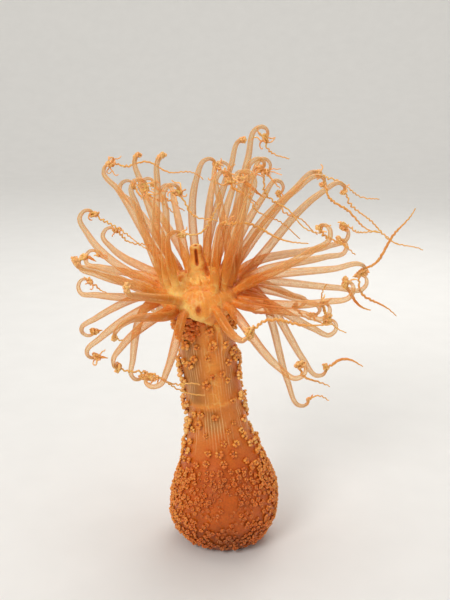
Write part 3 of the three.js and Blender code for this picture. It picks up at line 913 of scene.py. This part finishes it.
def berry_places():
    """Turns, distances and sizes of the berries: crowded on the base and scattered up the column."""
    found = []
    far = nearest_far(COLUMN_RADIUS + 2, BERRY_HIGH)
    odd = 0
    while profile_at(far)[1] > BERRY_LOW:
        radius, height, _, _ = profile_at(far)
        crowded = 1 - smooth(56, 84, height)
        scattered = 1 - crowded
        pitch = BULB_PITCH * crowded + COLUMN_PITCH * scattered
        usual = BULB_BERRY * crowded + COLUMN_BERRY * scattered
        count = int(TURN * radius / pitch)
        for k in range(count):
            turn = ((k + odd / 2 + chance.uniform(-0.2, 0.2)) / count) % 1
            angle = turn_angle(turn)
            bare = hill(0, 42, angle) * hill(34, 15, height)
            shown = 0.97 * crowded + (0.72 - 0.18 * hill(0, 48, angle)) * scattered - BARE * bare
            grown = 0.22 * hill(*LEFT_EDGE, angle) * scattered
            size = usual * (1 - 0.25 * bare + grown) * chance.uniform(0.65, 1.2)
            shift = chance.uniform(-0.22, 0.22) * pitch
            if chance.random() < shown:
                found.append((turn, far + shift, size))
        odd = 1 - odd
        far += pitch * ROW_PITCH
    return found + collar_berries()


def collar_berries():
    """Berries in the two patches under the arms, left and right of the front."""
    found = [
        ((angle / 360) % 1, nearest_far(COLUMN_RADIUS, height), size) for angle, height, size in TOP_BERRIES]
    taken = [body_skin([turn], [far])[0][0] for turn, far, _ in found]
    for _ in range(COLLAR_BERRIES):
        angle = chance.uniform(*(LEFT_PATCH if chance.random() < LEFT_MORE else RIGHT_PATCH))
        height = chance.uniform(*PATCH_HEIGHTS)
        turn, far = (angle / 360) % 1, nearest_far(COLUMN_RADIUS + 3, height)
        place = body_skin([turn], [far])[0][0]
        near = lengths(np.array(taken) - place).min()
        if lengths(ROOTS - place).min() > ROOT_GAP and near > BERRY_GAP:
            found.append((turn, far, chance.uniform(*PATCH_SIZES)))
            taken.append(place)
    return found


def make_berries():
    turns, fars, sizes = np.array(berry_places()).T
    places, normals = living_skin(turns, fars)
    side, other = square_to(normals)
    angles, heights = turn_angle(turns), places[:, 2]
    low_down = 1 - smooth(52, 90, heights)
    front = hill(5, 42, angles)
    # painted light: berries are paler towards the left and right sides, as if lit through from behind, most
    # on the column's left edge; those above the base are a little paler too
    pale = 0.24 * np.sin(turns * TURN) ** 4 + (0.12 + 0.1 * hill(*LEFT_EDGE, angles)) * (1 - low_down)
    ruddy = RUDDY * smooth(160, 168, heights) * (angles < 0)
    darker = low_down * BASE_DARKER + (0.65 + 0.35 * low_down) * FRONT_DARKER * front
    # painted shade on the berries low down at the front, near the floor
    darker += LOW_DARKER * front * (1 - smooth(8, 34, heights))
    low, high = [], []
    for k, size in enumerate(sizes):
        group = low if heights[k] < BASE_TOP else high
        petals = chance.integers(5, 8)
        heart = chance.uniform(0.04, 0.16) + 0.4 * ruddy[k]
        group.append(listed(places[k][None] + normals[k] * size * 0.34, normals[k][None], size * 0.5, heart,
                            BODY_CHART, turns[k], fars[k]))
        around = (np.arange(petals) + chance.uniform(0, 1)) / petals * TURN
        around = around + chance.uniform(-0.2, 0.2, petals)
        wide = size * chance.uniform(0.52, 0.72, petals)
        high_up = size * chance.uniform(0.3, 0.8, petals)
        out = np.outer(np.cos(around), side[k]) + np.outer(np.sin(around), other[k])
        middles = places[k] + out * wide[:, None] + normals[k] * high_up[:, None]
        tones = (chance.uniform(0.34, 0.76, petals) + pale[k]) * (1 - darker[k])
        if ruddy[k] > 0:
            tones = np.maximum(tones * (1 - ruddy[k]), 0.28)
        group.append(listed(middles, unit(out * 0.6 + normals[k]), size * chance.uniform(0.34, 0.5, petals),
                            tones, BODY_CHART, turns[k], fars[k]))
    return make_granules("berries_base", low), make_granules("berries_column", high)


# ---- stings: pale granules that crust the knots, the clubs and the first half of the threads
KNOT_GRANULES = 58
KNOT_SIZES = (0.45, 1.1)
BEAD_SIZE = 0.45
BEAD_SPACING = 2.4
BEAD_STOP = 0.6  # share of the thread that has beads
STING_TONES = (1.0, 1.3)


def knot_of(arm):
    """The rings of an arm's skin that make up its knot: none where it ends in a club."""
    fine = np.flatnonzero(arm.sides == THREAD_SIDES)
    return fine[arm.fars[fine] < arm.fars[fine[:1]] + arm.cord_length]


def make_stings():
    tables = []
    for number, arm in enumerate(ARMS):
        knot = knot_of(arm)
        if len(knot):
            chosen = chance.choice(knot, KNOT_GRANULES)
            start = arm.fars[knot[-1]]
            along = np.arange(start, arm.fars[-1] * BEAD_STOP + start * (1 - BEAD_STOP), BEAD_SPACING)
            chosen = np.concatenate([chosen, np.searchsorted(arm.fars, along).clip(0, len(arm.fars) - 1)])
        else:
            chosen = chance.choice(np.arange(len(arm.sides) - 4, len(arm.sides)), KNOT_GRANULES)
        count = len(chosen)
        ways = unit(chance.normal(size=(count, 3)))
        middles = arm.centres[chosen] + ways * (arm.wide[chosen] * 0.9)[:, None]
        sizes = np.where(np.arange(count) < KNOT_GRANULES, chance.uniform(*KNOT_SIZES, count), BEAD_SIZE)
        tones = chance.uniform(*STING_TONES, count)
        tables.append(listed(middles, ways, sizes, tones, number + 1, chance.uniform(0, 1, count),
                             arm.fars[chosen]))
    return make_granules("sting_granules", tables)


# ---- fingers: short curly cords with blunt ends that stand out from each knot
FINGERS = (2, 5)  # at least, and fewer than, of each knot
FINGER_LENGTH = (3.5, 10)
HIGH_FINGERS = 3  # more of them on each high knot
HIGH_STRETCH = 1.7  # and how much longer they are there
FINGER_STEP = 0.6
FINGER_SIDES = 6
FINGER_ROOT = 0.6  # radius at its root
FINGER_TIP = 0.45
FINGER_LEAN = (0.4, -0.2, -0.1)  # the way they tend to point
FINGER_CURL = 0.3  # radians of bend to a step


def finger_line(start, stretch):
    """Middles of the rings of one finger, which wanders and curls."""
    way = unit(chance.normal(size=3) + FINGER_LEAN)
    curl = FINGER_CURL / stretch
    bend = chance.normal(size=3) * curl
    places = [start]
    for _ in range(int(chance.uniform(*FINGER_LENGTH) * stretch / FINGER_STEP)):
        bend = 0.85 * bend + chance.normal(size=3) * curl * 0.5
        way = unit(way + np.cross(bend, way))
        places.append(places[-1] + way * FINGER_STEP)
    return np.array(places)


def make_finger(cords, start, chart, far, stretch):
    """One closed tube. Its looks are its tone and how far along it each ring lies."""
    centres = finger_line(start, stretch)
    side, other = carried(centres, unit(chance.normal(size=3)))
    share = np.linspace(0, 1, len(centres))
    radii = (FINGER_ROOT + (FINGER_TIP - FINGER_ROOT) * share) * (1 + 0.25 * lumps(centres, 1.5, 15))
    tone = chance.uniform(*STING_TONES)
    rings = [
        cords.ring(FINGER_SIDES, centre, radii[k], side[k], other[k], chart, far, (tone, share[k], 0, 0))
        for k, centre in enumerate(centres)]
    cords.chain(rings)
    ends = (rings[0][::-1], centres[0], centres[1]), (rings[-1], centres[-1], centres[-2])
    for ring, end, before in ends:
        cords.cap(ring, end + unit(end - before) * radii[-1] * 0.7, chart, 0.5, far, (tone, 1, 0, 0))


def make_fingers():
    cords = Gathering()
    for number, arm in enumerate(ARMS):
        knot = knot_of(arm)
        if len(knot) == 0:
            continue
        stretch = HIGH_STRETCH if arm.high else 1
        for _ in range(chance.integers(*FINGERS) + HIGH_FINGERS * arm.high):
            make_finger(cords, arm.centres[chance.choice(knot)], number + 1, arm.fars[knot[0]], stretch)
    places, charts, turns, fars, looks = cords.joined()

    def bake_map(mesh, corner):
        on_patch = np.column_stack([unrolled(mesh, corner, turns) - 0.5, looks[corner, 1] - 0.5])
        root = chart_place(charts, np.full(len(turns), 0.5), fars)[corner]
        return root + on_patch * PATCH

    return make_mesh("sting_fingers", places, cords.faces, {"OFBake": bake_map}, {"tone": looks[:, 0]})


# ---- materials
def srgb(red, green, blue):
    """A colour as it is seen, from 0 to 255, turned into the shader's own numbers."""
    seen = [value / 255 for value in (red, green, blue)]
    return (*(value / 12.92 if value <= 0.04045 else ((value + 0.055) / 1.055) ** 2.4 for value in seen), 1)


class Shader:
    """Short ways to make and join the nodes of one material."""

    def __init__(self, name):
        self.material = bpy.data.materials.new(name)
        self.material.use_nodes = True
        self.tree = self.material.node_tree
        self.surface = self.tree.nodes["Principled BSDF"]

    def join(self, value, socket):
        if hasattr(value, "links"):
            self.tree.links.new(value, socket)
        else:
            socket.default_value = value

    def node(self, kind, output, inputs=(), **settings):
        """Makes a node, sets or joins its inputs, and returns one of its outputs."""
        made = self.tree.nodes.new("ShaderNode" + kind)
        for key, value in settings.items():
            setattr(made, key, value)
        for key, value in dict(inputs).items():
            self.join(value, made.inputs[key])
        return made.outputs[output]

    def number(self, name):
        return self.node("Attribute", "Fac", attribute_name=name)

    def math(self, operation, one, two=0.0, clamp=False):
        return self.node("Math", 0, {0: one, 1: two}, operation=operation, use_clamp=clamp)

    def times(self, one, two, clamp=False):
        return self.math("MULTIPLY", one, two, clamp)

    def rest(self, share, clamp=False):
        return self.math("SUBTRACT", 1.0, share, clamp)

    def span(self, value, low, high, to_low=0.0, to_high=1.0):
        return self.node("MapRange", "Result", {
            "Value": value, "From Min": low, "From Max": high, "To Min": to_low, "To Max": to_high})

    def mix(self, share, one, two, blend="MIX"):
        return self.node("Mix", "Result", {"Factor": share, "A": one, "B": two},
                         data_type="RGBA", blend_type=blend)

    def laid(self, colour, *layers):
        """A colour with others laid over it, each by its share."""
        for share, other in layers:
            colour = self.mix(share, colour, other)
        return colour

    def noise(self, size, detail=2.0, scale=(1, 1, 1)):
        """Noise whose lumps are about size millimetres across."""
        place = self.node("Mapping", "Vector", {"Vector": self.node("TexCoord", "Object"), "Scale": scale})
        return self.node("TexNoise", "Fac", {"Vector": place, "Scale": 1 / (size * MM), "Detail": detail})

    def bump(self, height, depth, strength):
        self.set(Normal=self.node(
            "Bump", "Normal", {"Strength": strength, "Distance": depth * MM, "Height": height}))

    def let_through(self, share, tint):
        """Lets a share of the light pass straight through, tinted."""
        clear = self.node("BsdfTransparent", "BSDF", {"Color": tint})
        both = self.node("MixShader", "Shader", {0: share, 1: self.surface.outputs["BSDF"], 2: clear})
        self.join(both, self.tree.nodes["Material Output"].inputs["Surface"])

    def set(self, **values):
        for key, value in values.items():
            self.join(value, self.surface.inputs[key.replace("_", " ")])


PEACH = srgb(236, 184, 122)
TAN = srgb(222, 128, 46)
ORANGE = srgb(238, 112, 22)
YELLOW = srgb(255, 184, 78)
CREAM = srgb(255, 214, 124)
EMBER = srgb(208, 96, 14)
BROWN = srgb(134, 60, 12)
PALE_LINE = srgb(250, 204, 140)
# tint of the painted shade on the column's wall
SHADE_TINT = srgb(204, 228, 252)
AMBER = srgb(255, 242, 222)  # what a see-through wall lets by
HEART = srgb(160, 68, 12)  # of a berry, and then its granules from dark to pale
BERRY_TONES = srgb(218, 100, 16), srgb(246, 168, 66), srgb(255, 202, 120)
STING = srgb(255, 188, 122)
BERRY_CLOUD = srgb(232, 122, 30)
BERRY_SPECK = srgb(250, 206, 140)
SPECULAR = 0.35
SUBSURFACE = 0.25


def skin_material():
    """Damp flesh: clear peach arms that turn orange at their roots, and an orange lined body."""
    m = Shader("anemone_flesh")
    clear, warm, gold, rust = (m.number(key) for key in ("clear", "warm", "gold", "rust"))
    cloud = m.noise(6)
    fine = m.noise(1.3, 3)
    # thin crease lines, raised by the bump below and laid in cream on golden flesh, with more cream where the
    # gold is highest: partly the flesh's own pale colour, partly painted highlight
    crease = m.span(m.math("ABSOLUTE", m.math("SUBTRACT", m.noise(8), 0.5)), 0.0, 0.05, 1.0, 0.0)
    ridge = m.times(crease, m.span(gold, 0.25, 0.6))
    burnt = m.times(rust, m.span(fine, 0.35, 0.65, 0.7, 1.0))
    colour = m.laid(
        PEACH, (m.span(warm, 0.1, 0.5), TAN), (m.span(warm, 0.5, 1.0), ORANGE),
        (m.times(gold, m.span(cloud, 0.3, 0.7, 0.7, 1.0)), YELLOW),
        (m.span(gold, 0.8, 1.0, 0.0, 0.6), CREAM), (m.times(ridge, 0.6), CREAM),
        (m.span(burnt, 0.0, 0.4), EMBER), (m.span(burnt, 0.35, 1.0), BROWN))
    # painted shade on the column's wall
    colour = m.mix(m.number("painted_shade"), colour, SHADE_TINT, "MULTIPLY")

    # pale lines down the column's wall and along the arms, where the flesh is plain
    across = m.node("SeparateXYZ", "X", {"Vector": m.node("UVMap", "UV", uv_map="lines")})
    wave = m.math("SINE", m.times(across, TURN))
    broken = m.span(m.noise(5, 2, (1, 1, 0.2)), 0.42, 0.6)
    plain = m.times(m.rest(gold, True), m.span(rust, 0.04, 0.3, 1.0, 0.0))
    line = m.times(m.times(m.span(wave, 0.4, 0.95), broken), plain)
    colour = m.laid(colour, (m.times(line, 0.75), PALE_LINE), (m.span(fine, 0.3, 0.7, 0.0, 0.16), BROWN))

    m.set(Base_Color=colour, Roughness=m.span(fine, 0.3, 0.7, 0.34, 0.5), Specular_IOR_Level=SPECULAR,
          Subsurface_Weight=SUBSURFACE, Subsurface_Scale=0.006, Subsurface_Radius=(1.0, 0.4, 0.15),
          Sheen_Weight=0.06, Sheen_Roughness=0.5, Sheen_Tint=PALE_LINE)
    relief = m.math("ADD", m.noise(0.9, 3), m.times(line, 0.5))
    m.bump(m.math("ADD", relief, m.times(ridge, 1.6)), 0.25, 0.6)

    # the arms' walls are clear, but less so towards their outline and along the lines
    rim = m.node("LayerWeight", "Facing", {"Blend": 0.5})
    thin = m.times(m.rest(m.span(rim, 0.0, 0.9, 0.2, 0.95)), m.rest(m.times(line, 0.5)))
    m.let_through(m.times(clear, thin, True), AMBER)
    return m.material


def granule_material():
    """Berries and stings: dark hearts, and granules from orange to pale yellow."""
    m = Shader("anemone_granules")
    tone = m.number("tone")
    speck = m.noise(0.8)
    cloud = m.noise(9)
    dark, light, pale = BERRY_TONES
    colour = m.laid(
        dark, (m.span(tone, 0.3, 0.75), light), (m.span(tone, 0.75, 1.0), pale),
        (m.span(tone, 1.0, 1.2), STING), (m.span(tone, 0.3, 0.1), HEART),
        (m.span(cloud, 0.4, 0.7, 0.0, 0.35), BERRY_CLOUD), (m.span(speck, 0.4, 0.7, 0.0, 0.25), BERRY_SPECK))
    m.set(Base_Color=colour, Roughness=m.span(speck, 0.3, 0.7, 0.3, 0.5), Specular_IOR_Level=SPECULAR,
          Subsurface_Weight=SUBSURFACE, Subsurface_Scale=0.001, Subsurface_Radius=(1.0, 0.7, 0.5))
    m.bump(speck, 0.15, 0.5)
    return m.material


# ---- camera, floor and lights, in metres but for the floor
CAMERA_PLACE = (0, -0.5691, 0.3502)
CAMERA_TILT = 74
CAMERA_LENS = 50
CAMERA_SENSOR = 36
FLOOR_REACH = 2000  # of flat floor round the animal
FLOOR_BEND = 1200  # radius of the curve in which it turns up
WALL_TOP = 3200
FLOOR_SIDES = 96
WORLD_LIGHT = 0.56
MIDDLE = (0, 0, 0.15)  # of the animal
LAMPS = {  # place, target, size and power
    "key": ((-0.7, -1.1, 1.1), MIDDLE, 0.6, 12),
    "fill": ((1.2, -0.8, 0.6), MIDDLE, 1.0, 1.6),
    "back": ((0.3, 0.8, 0.9), MIDDLE, 0.8, 4),
    "wall": ((0, 0.5, 2.6), (0, 2.6, 0.9), 1.6, 30),
}


def make_camera():
    camera = placed("camera", bpy.data.cameras.new("camera"))
    camera.data.lens = CAMERA_LENS
    camera.data.sensor_width = CAMERA_SENSOR
    camera.data.clip_start = 0.01
    camera.location = CAMERA_PLACE
    camera.rotation_euler = (math.radians(CAMERA_TILT), 0, 0)
    bpy.context.scene.camera = camera


def make_floor():
    """A pale round floor that curves up into a wall on every side."""
    bend = np.linspace(0, math.pi / 2, 13)
    line = [(FLOOR_REACH + FLOOR_BEND * math.sin(t), FLOOR_BEND * (1 - math.cos(t))) for t in bend]
    line.append((FLOOR_REACH + FLOOR_BEND, WALL_TOP))
    ground = Gathering()
    rings = [ground.ring(FLOOR_SIDES, (0, 0, z), reach, (1, 0, 0), (0, 1, 0), 0, 0) for reach, z in line]
    ground.chain(rings[::-1])
    ground.cap(rings[0], (0, 0, 0), 0, 0, 0)
    floor = make_mesh("floor", ground.joined()[0], ground.faces)
    m = Shader("pale_floor")
    m.set(Base_Color=m.mix(m.noise(40), srgb(228, 226, 222), srgb(222, 220, 216)), Roughness=0.9)
    floor.data.materials.append(m.material)


def make_light():
    for name, (place, target, size, power) in LAMPS.items():
        lamp = placed(name, bpy.data.lights.new(name, "AREA"))
        lamp.data.size = size
        lamp.data.energy = power
        lamp.location = place
        lamp.rotation_euler = (Vector(target) - Vector(place)).to_track_quat("-Z", "Y").to_euler()
    world = bpy.data.worlds.new("studio")
    bpy.context.scene.world = world
    world.use_nodes = True
    world.node_tree.nodes["Background"].inputs["Color"].default_value = (1, 1, 1, 1)
    world.node_tree.nodes["Background"].inputs["Strength"].default_value = WORLD_LIGHT


# ---- the whole animal
make_camera()
make_floor()
make_light()
scene = bpy.context.scene
scene.view_settings.view_transform = "Standard"
scene.cycles.transparent_max_bounces = 32

flesh = make_skin()
flesh.data.materials.append(skin_material())
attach(flesh, "root")
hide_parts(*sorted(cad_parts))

grains = granule_material()
for piece in make_berries():
    piece.data.materials.append(grains)
    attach(piece, "root")
for piece in (make_stings(), make_fingers()):
    piece.data.materials.append(grains)
    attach(piece, "root")
